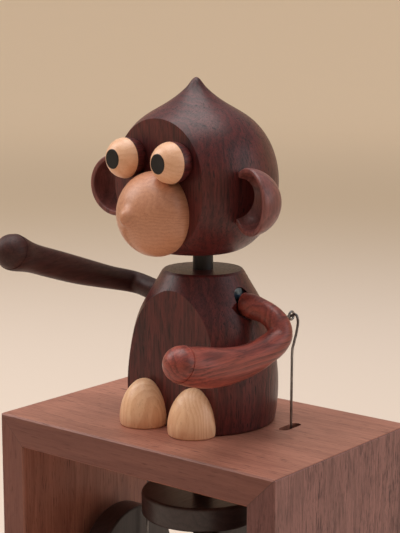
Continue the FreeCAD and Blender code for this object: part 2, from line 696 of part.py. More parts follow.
rod = doc.addObject("Part::Cylinder", "NeckBar")
rod.setExpression("Radius", "Sizes.neck_diameter / 2")
rod.setExpression("Height", "Sizes.board_thickness + Sizes.disc_drop + Sizes.disc_thickness"
                            " + Sizes.body_height + Sizes.neck_gap + Sizes.neck_seat")
place(rod, FIGURE_AT[:2] + (DISC_Z + " - Sizes.disc_thickness / 2",))
keep(rod, "neck_rod")


# ---------------------------------------------------------------- crank
def make_crank_arm():
    """Round-ended wooden arm, hanging down at rest."""
    body = new_body("crank_arm")
    sketch = new_sketch(body, "ArmOutline", "XY_Plane")
    half, length = size("crank_width") / 2, size("crank_length")
    ends = [V(0, 0, 0), V(length, 0, 0)]
    up = V(0, half, 0)
    sketch.addGeometry(Part.LineSegment(ends[0] - up, ends[1] - up), False)
    sketch.addGeometry(Part.ArcOfCircle(Part.Circle(ends[1], UP, half),
                                        -math.pi / 2, math.pi / 2), False)
    sketch.addGeometry(Part.LineSegment(ends[1] + up, ends[0] + up), False)
    sketch.addGeometry(Part.ArcOfCircle(Part.Circle(ends[0], UP, half),
                                        math.pi / 2, 3 * math.pi / 2), False)
    add_circle(sketch, "Sizes.shaft_diameter / 2 + Sizes.glue_clearance", SHAFT_R + GLUE)
    pin = size("knob_pin_diameter") / 2 + GLUE
    add_circle(sketch, "Sizes.knob_pin_diameter / 2 + Sizes.glue_clearance", pin, (length, 0))
    base = pad(body, sketch, "Arm", "Sizes.crank_thickness")
    doc.recompute()
    rims = []
    for number, edge in enumerate(base.Shape.Edges, start=1):
        flat = edge.BoundBox.ZLength < TOLERANCE
        if flat and len(edge.Vertexes) == 2:
            rims.append("Edge%d" % number)
    rounding = body.newObject("PartDesign::Fillet", "RoundedEdges")
    rounding.Base = (base, rims)
    rounding.setExpression("Radius", "Sizes.wheel_edge")
    body.Tip = rounding
    return body


crank = make_crank_arm()
place(crank, ("Sizes.box_width / 2 + Sizes.side_clearance",) + SHAFT_AT[1:], V(0, 1, 0), 90)
keep(crank, "crank_arm")

KNOB_AT = ("Sizes.box_width / 2 + Sizes.side_clearance + Sizes.crank_thickness",
           "Sizes.shaft_offset_y", "Sizes.shaft_rise - Sizes.crank_length")


def make_knob():
    """Turned handle that spins on its pin."""
    length, radius = size("knob_length"), size("knob_radius")
    blank = turned_face(KNOB_CURVE, length, radius).revolve(V(0, 0, 0), UP, 360)
    pin = size("knob_pin_diameter") / 2 + RUN
    blank = blank.cut(Part.makeCylinder(pin, length))
    sink = size("knob_head_radius") + ARM_GAP
    return blank.cut(Part.makeCylinder(sink, length, V(0, 0, length - size("knob_head_length")
                                                       - ARM_GAP)))


def make_knob_pin():
    """Steel pin through the crank arm, with a flat head sunk in the knob."""
    start = -size("crank_thickness")
    end = ARM_GAP + size("knob_length")
    pin = x_cylinder(size("knob_pin_diameter") / 2, start, end)
    return pin.fuse(x_cylinder(size("knob_head_radius"), end - size("knob_head_length"),
                               end)).removeSplitter()


solid_feature("crank_pin", make_knob_pin(), KNOB_AT)
knob_at = (KNOB_AT[0] + " + Sizes.wire_clearance",) + KNOB_AT[1:]
solid_feature("crank_knob", make_knob(), knob_at, V(0, 1, 0), 90)


def make_end_cap():
    """Turned cap that keeps the shaft from sliding out on the left."""
    cap = x_cylinder(size("cap_radius"), -size("cap_thickness"), 0)
    outer = [edge for edge in cap.Edges if len(edge.Vertexes) == 1]
    cap = cap.makeFillet(size("disc_edge"), outer)
    return cap.cut(x_cylinder(SHAFT_R + GLUE, -size("cap_seat"), size("cap_seat")))


solid_feature("shaft_cap", make_end_cap(),
              ("-Sizes.box_width / 2 - Sizes.side_clearance",) + SHAFT_AT[1:])


# ---------------------------------------------------------------- check and write
def check_document():
    """Stop if any object failed or any piece is not a valid solid."""
    doc.recompute()
    for item in doc.Objects:
        if "Invalid" in item.State or "Error" in item.State:
            raise RuntimeError("%s is %s" % (item.Label, item.State))
    for piece in NODES:
        shape = piece.Shape
        if shape.isNull() or not shape.isValid() or shape.Volume <= 0:
            raise RuntimeError("%s has no valid solid" % piece.Label)


def write_parts():
    """Write each piece to its own STEP file."""
    os.makedirs("parts", exist_ok=True)
    for piece in NODES:
        piece.Shape.exportStep(os.path.join("parts", piece.Label + ".step"))
        print("%-22s %2d solid %10.1f mm3" % (piece.Label, len(piece.Shape.Solids),
                                              piece.Shape.Volume))


check_document()
write_parts()
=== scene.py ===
"""Looks of the wooden crank automaton: wood and metal finishes, bent wire work, studio and camera.

Lengths are in millimetres and turn into metres where a mesh is made. The studio's lamps and
camera are the exception: they stand in metres.
"""

from __future__ import annotations

import logging
import math
from dataclasses import dataclass
from enum import Enum

import bmesh
import bpy
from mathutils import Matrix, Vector

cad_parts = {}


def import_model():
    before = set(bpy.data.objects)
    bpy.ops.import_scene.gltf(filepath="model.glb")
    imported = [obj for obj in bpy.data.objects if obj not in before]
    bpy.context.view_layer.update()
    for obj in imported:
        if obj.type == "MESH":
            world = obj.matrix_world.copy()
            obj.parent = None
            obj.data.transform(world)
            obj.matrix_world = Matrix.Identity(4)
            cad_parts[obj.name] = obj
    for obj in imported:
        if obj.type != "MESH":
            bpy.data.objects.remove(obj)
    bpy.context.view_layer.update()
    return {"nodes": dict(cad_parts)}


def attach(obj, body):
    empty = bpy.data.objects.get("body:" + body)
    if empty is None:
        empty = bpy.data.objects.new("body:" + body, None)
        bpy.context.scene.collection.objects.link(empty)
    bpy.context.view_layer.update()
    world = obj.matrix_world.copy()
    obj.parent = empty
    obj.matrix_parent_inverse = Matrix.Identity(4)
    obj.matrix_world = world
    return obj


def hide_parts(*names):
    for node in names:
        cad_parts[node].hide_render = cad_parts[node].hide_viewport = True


MM = 0.001
LOG = logging.getLogger("automaton")

Colour = tuple[float, float, float]
Offset = tuple[float, float, float]
Density = tuple[float, float]


class Grain(Enum):
    """Direction in which the fibres of a piece run."""

    ALONG_X = (0.0, math.radians(90.0), 0.0)
    ALONG_Y = (math.radians(90.0), 0.0, 0.0)
    UPRIGHT = (0.0, 0.0, 0.0)


class Side(Enum):
    """Side of the figure, as seen from its front."""

    LEFT = -1
    RIGHT = 1

    @property
    def word(self) -> str:
        """Name of the side as the frame's nodes spell it."""
        return self.name.lower()


def linear(red: int, green: int, blue: int) -> Colour:
    """Turn a paint-chart colour of 0 to 255 into the shader's linear one.

    Args:
        red: Red share, 0 to 255.
        green: Green share, 0 to 255.
        blue: Blue share, 0 to 255.

    Returns:
        The same colour in linear light.
    """
    def channel(value: int) -> float:
        """Linear light of one channel."""
        share = value / 255.0
        return share / 12.92 if share <= 0.04045 else ((share + 0.055) / 1.055) ** 2.4

    return channel(red), channel(green), channel(blue)


class Tree:
    """Writes nodes and links into one shader or geometry node tree."""

    def __init__(self, tree: bpy.types.NodeTree) -> None:
        """Take the tree that the methods add to.

        Args:
            tree: The node tree to fill.
        """
        self.tree = tree

    def node(self, kind: str, inputs: dict[str | int, object] | None = None,
             **settings: object) -> bpy.types.Node:
        """Add a node, set its properties and fill its inputs.

        Args:
            kind: Blender's type name of the node.
            inputs: Socket name or number to a value, or to the socket that feeds it.
            settings: Properties of the node itself.

        Returns:
            The new node.
        """
        made = self.tree.nodes.new(kind)
        for name, value in settings.items():
            setattr(made, name, value)
        for key, value in (inputs or {}).items():
            self.feed(made.inputs[key], value)
        return made

    def feed(self, socket: bpy.types.NodeSocket, value: object) -> None:
        """Link a socket to another one, or give it a plain value.

        Args:
            socket: The input to fill.
            value: An output socket, a number, a colour or a vector.
        """
        if isinstance(value, bpy.types.NodeSocket):
            self.tree.links.new(value, socket)
        elif isinstance(value, tuple) and socket.type == "RGBA":
            socket.default_value = (*value[:3], 1.0)
        else:
            socket.default_value = value

    def math(self, operation: str, first: object, second: object = 0.0,
             clamp: bool = False) -> bpy.types.NodeSocket:
        """Add a Math node.

        Args:
            operation: What the node works out.
            first: First number or socket.
            second: Second number or socket.
            clamp: Keep the result from 0 to 1.

        Returns:
            The node's result.
        """
        return self.node("ShaderNodeMath", {0: first, 1: second},
                         operation=operation, use_clamp=clamp).outputs[0]

    def step(self, value: object, low: float, high: float) -> bpy.types.NodeSocket:
        """Add a soft step that rises from 0 at low to 1 at high.

        Args:
            value: The socket to read.
            low: Where the step starts.
            high: Where the step ends.

        Returns:
            The step's result.
        """
        return self.node("ShaderNodeMapRange", {"Value": value, "From Min": low, "From Max": high},
                         interpolation_type="SMOOTHSTEP").outputs["Result"]

    def blend(self, factor: object, first: object, second: object) -> bpy.types.NodeSocket:
        """Mix two colours.

        Args:
            factor: Share of the second colour.
            first: First colour.
            second: Second colour.

        Returns:
            The mixed colour.
        """
        mix = self.node("ShaderNodeMix", data_type="RGBA")
        self.feed(mix.inputs["Factor"], factor)
        self.feed([s for s in mix.inputs if s.name == "A" and s.type == "RGBA"][0], first)
        self.feed([s for s in mix.inputs if s.name == "B" and s.type == "RGBA"][0], second)
        return [s for s in mix.outputs if s.type == "RGBA"][0]

    def noise(self, vector: object, scale: float, detail: float = 2.0,
              roughness: float = 0.5) -> bpy.types.NodeSocket:
        """Add a Noise texture.

        Args:
            vector: Coordinates to read it at.
            scale: Its scale.
            detail: Number of octaves.
            roughness: Weight of the finer octaves.

        Returns:
            The noise, about 0 to 1.
        """
        return self.node("ShaderNodeTexNoise", {"Vector": vector, "Scale": scale,
                                                "Detail": detail,
                                                "Roughness": roughness}).outputs[0]

    def stretch(self, vector: object, density: Density) -> bpy.types.NodeSocket:
        """Scale coordinates across and along the fibres, which run up the local Z.

        Args:
            vector: Coordinates in millimetres.
            density: Features per millimetre across the fibres and along them.

        Returns:
            The scaled coordinates.
        """
        across, along = density
        return self.node("ShaderNodeVectorMath", {0: vector, 1: (across, across, along)},
                         operation="MULTIPLY").outputs[0]

    def swing(self, value: object, amount: object) -> bpy.types.NodeSocket:
        """Turn a value of 0 to 1 into a shift to both sides of 0.

        Args:
            value: The value to shift by.
            amount: The whole width of the shift.

        Returns:
            The shift.
        """
        return self.math("MULTIPLY", self.math("SUBTRACT", value, 0.5), amount)

    def weigh(self, first: object, share: object, second: object,
              other: object) -> bpy.types.NodeSocket:
        """Add two values, each with its own weight.

        Args:
            first: First value.
            share: Its weight.
            second: Second value.
            other: The second one's weight.

        Returns:
            The sum.
        """
        return self.math("ADD", self.math("MULTIPLY", first, share),
                         self.math("MULTIPLY", second, other))


def new_group(name: str, inputs: list[tuple[str, str, object]],
              outputs: list[tuple[str, str]]) -> tuple[Tree, bpy.types.Node, bpy.types.Node]:
    """Start a shader node group with named sockets.

    Args:
        name: Name of the group.
        inputs: Name, socket type and default of each input.
        outputs: Name and socket type of each output.

    Returns:
        The tree, its input node and its output node.
    """
    group = bpy.data.node_groups.new(name, "ShaderNodeTree")
    for label, kind, default in inputs:
        socket = group.interface.new_socket(name=label, in_out="INPUT", socket_type=kind)
        if default is not None:
            socket.default_value = default
    for label, kind in outputs:
        group.interface.new_socket(name=label, in_out="OUTPUT", socket_type=kind)
    tree = Tree(group)
    return tree, tree.node("NodeGroupInput"), tree.node("NodeGroupOutput")


class Effects:
    """Shader node groups that several finishes share."""

    # Features per millimetre, across the fibres and along them.
    SLOW_WANDER: Density = (0.045, 0.012)
    QUICK_WANDER: Density = (0.16, 0.02)
    BROAD_FIBRES: Density = (1.1, 0.03)
    FINE_FIBRES: Density = (3.4, 0.09)
    LONG_PORES: Density = (1.7, 0.16)
    SHORT_PORES: Density = (3.6, 0.34)
    BROAD_MARKS: Density = (0.05, 0.05)
    SMALL_MARKS: Density = (0.5, 0.5)
    # How far the wander of the trunk bends its growth rings, in mm.
    SLOW_BEND = 34.0
    QUICK_BEND = 5.0
    # What pores and streaks add to the roughness.
    PORE_DULLNESS = 0.22
    STREAK_DULLNESS = 0.08

    def __init__(self) -> None:
        """Build every group once."""
        self.wood = self.wood_figure()
        self.joint = self.mitre_line()
        self.smudge = self.handling_marks()
        # Painted shade for the faces of the boards that look to the front or back.
        self.edge = self.front_back_painted_shade()

    def wood_figure(self) -> bpy.types.NodeTree:
        """Growth rings, fibres and pores of a turned or sawn piece.

        Returns:
            A group that puts out a colour, a height and a roughness shift.
        """
        colour, number, vector = "NodeSocketColor", "NodeSocketFloat", "NodeSocketVector"
        tree, start, end = new_group(
            "WoodFigure",
            [("Vector", vector, None), ("Light", colour, None), ("Dark", colour, None),
             ("Pore", colour, None), ("Ring Width", number, 3.0), ("Ring Contrast", number, 0.5),
             ("Streak Contrast", number, 0.5), ("Pore Amount", number, 0.5),
             ("Pore Size", number, 1.0), ("Pore Crowd", number, 0.0), ("Mottle", number, 0.3)],
            [("Color", colour), ("Height", number), ("Roughness", number)])
        get = start.outputs
        slow = tree.noise(tree.stretch(get["Vector"], self.SLOW_WANDER), 1.0, 2.0)
        quick = tree.noise(tree.stretch(get["Vector"], self.QUICK_WANDER), 1.0, 2.0)
        split = tree.node("ShaderNodeSeparateXYZ", {0: get["Vector"]})
        flat = tree.node("ShaderNodeCombineXYZ", {0: split.outputs[0], 1: split.outputs[1]})
        radius = tree.node("ShaderNodeVectorMath", {0: flat.outputs[0]}, operation="LENGTH")
        bent = tree.math("ADD", radius.outputs["Value"], tree.swing(slow, self.SLOW_BEND))
        bent = tree.math("ADD", bent, tree.swing(quick, self.QUICK_BEND))
        phase = tree.math("FRACT", tree.math("DIVIDE", bent, get["Ring Width"]))
        late = tree.math("MULTIPLY", tree.step(phase, 0.15, 0.85),
                         tree.math("SUBTRACT", 1.0, tree.step(phase, 0.88, 1.0)))
        fibres = tree.noise(tree.stretch(get["Vector"], self.BROAD_FIBRES), 1.0, 4.0, 0.62)
        fine = tree.noise(tree.stretch(get["Vector"], self.FINE_FIBRES), 1.0, 3.0, 0.6)
        streak = tree.step(tree.weigh(fibres, 0.62, fine, 0.38), 0.34, 0.66)
        dark = tree.weigh(late, get["Ring Contrast"], streak, get["Streak Contrast"])
        dark = tree.math("ADD", dark, tree.swing(slow, get["Mottle"]), clamp=True)
        base = tree.blend(dark, get["Light"], get["Dark"])
        sized = tree.node("ShaderNodeVectorMath", {0: get["Vector"], "Scale": get["Pore Size"]},
                          operation="SCALE").outputs[0]
        dashes = tree.noise(tree.stretch(sized, self.LONG_PORES), 1.0, 2.0, 0.45)
        dashes = tree.step(tree.math("ADD", dashes, get["Pore Crowd"]), 0.60, 0.72)
        tiny = tree.noise(tree.stretch(sized, self.SHORT_PORES), 1.0, 1.0, 0.4)
        tiny = tree.step(tree.math("ADD", tiny, get["Pore Crowd"]), 0.62, 0.74)
        crowd = tree.math("MULTIPLY", tree.step(quick, 0.25, 0.75), 0.8)
        mask = tree.math("MAXIMUM", tree.math("MULTIPLY", dashes, 0.8),
                         tree.math("MULTIPLY", tiny, 0.55))
        mask = tree.math("MULTIPLY", mask, tree.math("ADD", 0.45, crowd))
        mask = tree.math("MULTIPLY", mask, get["Pore Amount"], clamp=True)
        tree.feed(end.inputs["Color"], tree.blend(mask, base, get["Pore"]))
        ridge = tree.math("SUBTRACT", tree.math("MULTIPLY", streak, 0.25), mask)
        tree.feed(end.inputs["Height"], ridge)
        dull = tree.math("ADD", tree.math("MULTIPLY", mask, self.PORE_DULLNESS),
                         tree.swing(streak, self.STREAK_DULLNESS))
        tree.feed(end.inputs["Roughness"], dull)
        return tree.tree

    def mitre_line(self) -> bpy.types.NodeTree:
        """Thin dark glue line where the boards of the box meet at their mitres.

        Returns:
            A group that puts out how much of the line covers a point.
        """
        number = "NodeSocketFloat"
        tree, start, end = new_group(
            "MitreLine",
            [("Vector", "NodeSocketVector", None), ("Half Width", number, 66.5),
             ("Height", number, 112.0), ("Line Width", number, 0.3)],
            [("Mask", number)])
        get = start.outputs
        split = tree.node("ShaderNodeSeparateXYZ", {0: get["Vector"]})
        out = tree.math("SUBTRACT", tree.math("ABSOLUTE", split.outputs[0]), get["Half Width"])
        up = split.outputs[2]
        upper = tree.math("ABSOLUTE", tree.math("SUBTRACT", out,
                                                tree.math("SUBTRACT", up, get["Height"])))
        lower = tree.math("ABSOLUTE", tree.math("ADD", out, up))
        near = tree.math("DIVIDE", tree.math("MINIMUM", upper, lower), get["Line Width"])
        tree.feed(end.inputs["Mask"], tree.math("SUBTRACT", 1.0, tree.step(near, 0.35, 1.0)))
        return tree.tree

    def front_back_painted_shade(self) -> bpy.types.NodeTree:
        """Painted shade on the faces of a board that look to the front or back, away from the
        overhead lamps.

        Returns:
            A group that puts out the painted shade: how much the surface looks to the front or
                back.
        """
        number = "NodeSocketFloat"
        tree, start, end = new_group("FrontBackPaintedShade", [("Amount", number, 0.5)], [("Mask", number)])
        normal = tree.node("ShaderNodeNewGeometry").outputs["True Normal"]
        object_normal = tree.node("ShaderNodeVectorTransform", {0: normal}, vector_type="NORMAL",
                                  convert_from="WORLD", convert_to="OBJECT").outputs[0]
        split = tree.node("ShaderNodeSeparateXYZ", {0: object_normal})
        facing = tree.step(tree.math("ABSOLUTE", split.outputs[1]), 0.45, 0.95)
        tree.feed(end.inputs["Mask"], tree.math("MULTIPLY", facing, start.outputs["Amount"]))
        return tree.tree

    def handling_marks(self) -> bpy.types.NodeTree:
        """Soft uneven sheen that hands and polish leave on a surface.

        Returns:
            A group that puts out a roughness shift.
        """
        tree, start, end = new_group(
            "HandlingMarks",
            [("Vector", "NodeSocketVector", None), ("Amount", "NodeSocketFloat", 0.1)],
            [("Roughness", "NodeSocketFloat")])
        broad = tree.noise(tree.stretch(start.outputs["Vector"], self.BROAD_MARKS), 1.0, 3.0, 0.6)
        small = tree.noise(tree.stretch(start.outputs["Vector"], self.SMALL_MARKS), 1.0, 2.0, 0.5)
        tree.feed(end.inputs["Roughness"],
                  tree.swing(tree.weigh(broad, 0.7, small, 0.3), start.outputs["Amount"]))
        return tree.tree


def object_millimetres(tree: Tree) -> bpy.types.NodeSocket:
    """Read Object coordinates in millimetres.

    Args:
        tree: The material's tree.

    Returns:
        The coordinates.
    """
    place = tree.node("ShaderNodeTexCoord").outputs["Object"]
    return tree.node("ShaderNodeVectorMath", {0: place, "Scale": 1.0 / MM},
                     operation="SCALE").outputs[0]


def start_material(name: str) -> tuple[bpy.types.Material, Tree, bpy.types.Node]:
    """Start a material with a Principled BSDF.

    Args:
        name: Name of the material.

    Returns:
        The material, its tree and its shader.
    """
    material = bpy.data.materials.new(name)
    material.use_nodes = True
    material.node_tree.nodes.clear()
    tree = Tree(material.node_tree)
    shader = tree.node("ShaderNodeBsdfPrincipled")
    tree.node("ShaderNodeOutputMaterial", {"Surface": shader.outputs[0]})
    return material, tree, shader


@dataclass(frozen=True)
class WoodFinish:
    """An oiled or waxed wood, cut and sanded."""

    name: str
    light: Colour
    dark: Colour
    pore: Colour
    ring_width: float = 3.0
    ring_contrast: float = 0.4
    streak_contrast: float = 0.5
    pore_amount: float = 0.6
    pore_size: float = 1.0
    mottle: float = 0.6
    roughness: float = 0.42
    coat: float = 0.12
    bump: float = 0.05
    specular: float = 0.4
    pore_crowd: float = 0.0
    bump_strength: float = 0.5
    coat_roughness: float = 0.34
    mitred: bool = False
    joint_shade: float = 0.55
    # How deep, and in what colour, painted shade darkens the faces of a mitred board that look to
    # the front or back.
    painted_shade_depth: float = 0.66
    painted_shade_colour: Colour = linear(80, 33, 29)

    def material(self, effects: Effects, node: str, grain: Grain,
                 pith: Offset) -> bpy.types.Material:
        """Make the finish for one piece of wood.

        Args:
            effects: The shared groups.
            node: Piece that it is for, which names the material.
            grain: Direction of the fibres.
            pith: Offset of the trunk's heart from the origin, in mm, once the grain is upright.

        Returns:
            The material.
        """
        material, tree, shader = start_material(f"{self.name}.{node}")
        place = object_millimetres(tree)
        turned = tree.node("ShaderNodeMapping", {"Vector": place, "Location": pith,
                                                 "Rotation": grain.value})
        figure = tree.node("ShaderNodeGroup", node_tree=effects.wood)
        for key, value in (("Vector", turned.outputs[0]), ("Light", self.light),
                           ("Dark", self.dark), ("Pore", self.pore),
                           ("Ring Width", self.ring_width), ("Ring Contrast", self.ring_contrast),
                           ("Streak Contrast", self.streak_contrast),
                           ("Pore Amount", self.pore_amount), ("Pore Size", self.pore_size),
                           ("Pore Crowd", self.pore_crowd), ("Mottle", self.mottle)):
            tree.feed(figure.inputs[key], value)
        colour, height = figure.outputs["Color"], figure.outputs["Height"]
        if self.mitred:
            line = tree.node("ShaderNodeGroup", node_tree=effects.joint)
            tree.feed(line.inputs["Vector"], place)
            faint = tree.math("MULTIPLY", line.outputs["Mask"], self.joint_shade)
            # Painted shade on the faces that look to the front or back; the glue line is the
            # joint's own.
            edge = tree.node("ShaderNodeGroup", {"Amount": self.painted_shade_depth},
                             node_tree=effects.edge)
            colour = tree.blend(edge.outputs["Mask"], colour, self.painted_shade_colour)
            colour = tree.blend(faint, colour, self.pore)
            height = tree.math("SUBTRACT", height, line.outputs["Mask"])
        marks = tree.node("ShaderNodeGroup", node_tree=effects.smudge)
        tree.feed(marks.inputs["Vector"], place)
        rough = tree.math("ADD", figure.outputs["Roughness"], self.roughness)
        rough = tree.math("ADD", rough, marks.outputs["Roughness"], clamp=True)
        bump = tree.node("ShaderNodeBump", {"Height": height, "Strength": self.bump_strength,
                                            "Distance": self.bump * MM})
        tree.feed(shader.inputs["Base Color"], colour)
        tree.feed(shader.inputs["Roughness"], rough)
        tree.feed(shader.inputs["Normal"], bump.outputs[0])
        shader.inputs["Coat Weight"].default_value = self.coat
        shader.inputs["Coat Roughness"].default_value = self.coat_roughness
        shader.inputs["Specular IOR Level"].default_value = self.specular
        return material


@dataclass(frozen=True)
class MetalFinish:
    """A drawn or blued metal with fine scratches."""

    name: str
    colour: Colour
    tint: Colour
    roughness: float = 0.28
    scratch_dullness: float = 0.18
    scratch_depth: float = 0.01

    def material(self, effects: Effects, node: str) -> bpy.types.Material:
        """Make the finish for one metal piece.

        Args:
            effects: The shared groups.
            node: Piece that it is for, which names the material.

        Returns:
            The material.
        """
        material, tree, shader = start_material(f"{self.name}.{node}")
        place = object_millimetres(tree)
        cloud = tree.noise(tree.stretch(place, (0.6, 0.25)), 1.0, 3.0, 0.6)
        scratch = tree.noise(tree.stretch(place, (9.0, 0.7)), 1.0, 2.0, 0.5)
        marks = tree.node("ShaderNodeGroup", node_tree=effects.smudge)
        tree.feed(marks.inputs["Vector"], place)
        rough = tree.math("ADD", tree.math("MULTIPLY", scratch, self.scratch_dullness),
                          marks.outputs["Roughness"])
        rough = tree.math("ADD", rough, self.roughness - self.scratch_dullness / 2, clamp=True)
        bump = tree.node("ShaderNodeBump", {"Height": scratch, "Strength": 0.25,
                                            "Distance": self.scratch_depth * MM})
        tree.feed(shader.inputs["Base Color"],
                  tree.blend(tree.step(cloud, 0.3, 0.7), self.colour, self.tint))
        tree.feed(shader.inputs["Roughness"], rough)
        tree.feed(shader.inputs["Normal"], bump.outputs[0])
        shader.inputs["Metallic"].default_value = 1.0
        return material


@dataclass(frozen=True)
class LacquerFinish:
    """A black satin lacquer that shows a little of the turned surface below."""

    name: str
    colour: Colour
    worn: Colour
    roughness: float = 0.32
    coat: float = 0.2
    coat_roughness: float = 0.25
    specular: float = 0.5
    peel_depth: float = 0.02

    def material(self, effects: Effects, node: str) -> bpy.types.Material:
        """Make the finish for one lacquered piece.

        Args:
            effects: The shared groups.
            node: Piece that it is for, which names the material.

        Returns:
            The material.
        """
        material, tree, shader = start_material(f"{self.name}.{node}")
        place = object_millimetres(tree)
        cloud = tree.noise(tree.stretch(place, (0.35, 0.1)), 1.0, 3.0, 0.6)
        peel = tree.noise(tree.stretch(place, (1.6, 1.6)), 1.0, 2.0, 0.5)
        marks = tree.node("ShaderNodeGroup", node_tree=effects.smudge)
        tree.feed(marks.inputs["Vector"], place)
        rough = tree.math("ADD", marks.outputs["Roughness"], self.roughness, clamp=True)
        bump = tree.node("ShaderNodeBump", {"Height": peel, "Strength": 0.3,
                                            "Distance": self.peel_depth * MM})
        tree.feed(shader.inputs["Base Color"],
                  tree.blend(tree.step(cloud, 0.35, 0.8), self.colour, self.worn))
        tree.feed(shader.inputs["Roughness"], rough)
        tree.feed(shader.inputs["Normal"], bump.outputs[0])
        shader.inputs["Coat Weight"].default_value = self.coat
        shader.inputs["Coat Roughness"].default_value = self.coat_roughness
        shader.inputs["Specular IOR Level"].default_value = self.specular
        return material


BOX_WALNUT = WoodFinish("BoxWalnut", linear(178, 118, 98), linear(132, 80, 66), linear(72, 40, 34),
                        ring_width=9.0, ring_contrast=0.30, streak_contrast=0.50,
                        pore_amount=0.75, pore_size=0.8, mottle=0.35, roughness=0.46, coat=0.05,
                        bump=0.06, mitred=True)
# Walnut of the right side board: its coarser, crowded pores are the board's own, and its darker,
# greyer tone is partly painted shade on the side that faces away from the key lamp.
SIDE_WALNUT_PART_PAINTED_SHADE = WoodFinish("SideWalnutPartPaintedShade", linear(158, 110, 102), linear(116, 78, 72),
                         linear(56, 38, 40), ring_width=7.0, ring_contrast=0.34,
                         streak_contrast=0.6,
                         pore_amount=0.85, pore_size=1.25, pore_crowd=0.07, mottle=0.5,
                         roughness=0.48, coat=0.05, bump=0.08, mitred=True)
FIGURE_WALNUT = WoodFinish("FigureWalnut", linear(104, 43, 41), linear(52, 20, 21),
                           linear(20, 9, 11), ring_width=4.2, ring_contrast=0.34,
                           streak_contrast=0.62, pore_amount=1.0, pore_crowd=0.04, mottle=0.8,
                           roughness=0.37, coat=0.12, specular=0.32)
# Lighter, less saturated walnut of the ears: partly the wood's own tone, partly painted light that
# lifts the shaded hollows of the ears.
EAR_WALNUT_PART_PAINTED_LIGHT = WoodFinish("EarWalnutPartPaintedLight", linear(142, 84, 78), linear(88, 50, 48), linear(44, 26, 26),
                        ring_width=3.6, ring_contrast=0.34, streak_contrast=0.6,
                        pore_amount=0.7, mottle=0.8, roughness=0.38, coat=0.12)
ARM_WALNUT = WoodFinish("ArmWalnut", linear(166, 79, 66), linear(102, 46, 40), linear(46, 22, 20),
                        ring_width=3.2, ring_contrast=0.44, streak_contrast=0.6,
                        pore_amount=0.6, mottle=1.0, roughness=0.38, coat=0.15, specular=0.35)
# Darker, duller copy of the arm's walnut for the left arm: painted shade, as that arm stands in
# shade.
LEFT_ARM_PAINTED_SHADE = WoodFinish("LeftArmPaintedShade", linear(76, 44, 40), linear(44, 25, 24),
                          linear(24, 14, 14), ring_width=3.2, ring_contrast=0.30,
                          streak_contrast=0.5,
                          pore_amount=0.5, mottle=0.7, roughness=0.5, coat=0.0, specular=0.25)
WHEEL_WALNUT = WoodFinish("WheelWalnut", linear(62, 48, 48), linear(38, 29, 30),
                          linear(20, 15, 15), ring_width=3.6, ring_contrast=0.35,
                          streak_contrast=0.5, pore_amount=0.6, roughness=0.38, coat=0.25)
MAPLE = WoodFinish("Maple", linear(242, 192, 154), linear(220, 160, 121), linear(170, 100, 72),
                   ring_width=2.6, ring_contrast=0.26, streak_contrast=0.34, pore_amount=0.3,
                   pore_size=1.3, mottle=0.8, roughness=0.36, coat=0.22, bump=0.025)
# Brighter copy of the maple for the feet: painted light, as they stand in the figure's shade;
# their stronger rings are the wood's own.
FOOT_MAPLE_PAINTED_LIGHT = WoodFinish("FootMaplePaintedLight", linear(252, 206, 164), linear(228, 166, 124),
                        linear(176, 102, 72), ring_width=2.4, ring_contrast=0.40,
                        streak_contrast=0.30, pore_amount=0.35, pore_size=1.3, mottle=0.8,
                        roughness=0.36, coat=0.22, bump=0.025)
MUZZLE_MAPLE = WoodFinish("MuzzleMaple", linear(207, 150, 117), linear(172, 109, 81),
                          linear(140, 76, 56), ring_width=2.2, ring_contrast=0.24,
                          streak_contrast=0.40, pore_amount=0.35, pore_size=1.3, mottle=0.9,
                          roughness=0.36, coat=0.15, bump=0.025)
DOWEL = WoodFinish("Dowel", linear(104, 74, 60), linear(74, 50, 42), linear(38, 26, 22),
                   ring_width=2.4, ring_contrast=0.3, streak_contrast=0.6, pore_amount=0.5,
                   roughness=0.45)
STEEL = MetalFinish("DrawnSteel", linear(150, 146, 144), linear(104, 101, 101), roughness=0.3)
BLUED = MetalFinish("BluedSteel", linear(122, 138, 150), linear(78, 92, 108), roughness=0.3)
BLACK_DOWEL = LacquerFinish("BlackDowel", linear(26, 23, 25), linear(44, 38, 39), roughness=0.45,
                            coat=0.05, specular=0.35)
BLACK_PUPIL = LacquerFinish("BlackPupil", linear(17, 16, 18), linear(28, 27, 30), roughness=0.4,
                            coat=0.05, specular=0.25)


@dataclass(frozen=True)
class Dressing:
    """Finish and fibre direction of one node of the frame."""

    node: str
    finish: WoodFinish | MetalFinish | LacquerFinish
    grain: Grain = Grain.UPRIGHT
    pith: Offset = (0.0, 0.0, 0.0)

    def apply(self, effects: Effects, target: bpy.types.Object) -> None:
        """Give the piece its material.

        Args:
            effects: The shared groups.
            target: The piece's object.
        """
        if isinstance(self.finish, WoodFinish):
            material = self.finish.material(effects, self.node, self.grain, self.pith)
        else:
            material = self.finish.material(effects, self.node)
        slots = target.material_slots
        if not slots:
            target.data.materials.append(material)
        for slot in slots:
            slot.material = material
        LOG.info("dressed %s in %s", self.node, self.finish.name)


# How far apart the trunk's hearts of a left and a right piece lie from the middle, in mm.
PITH_STEP = 17.0


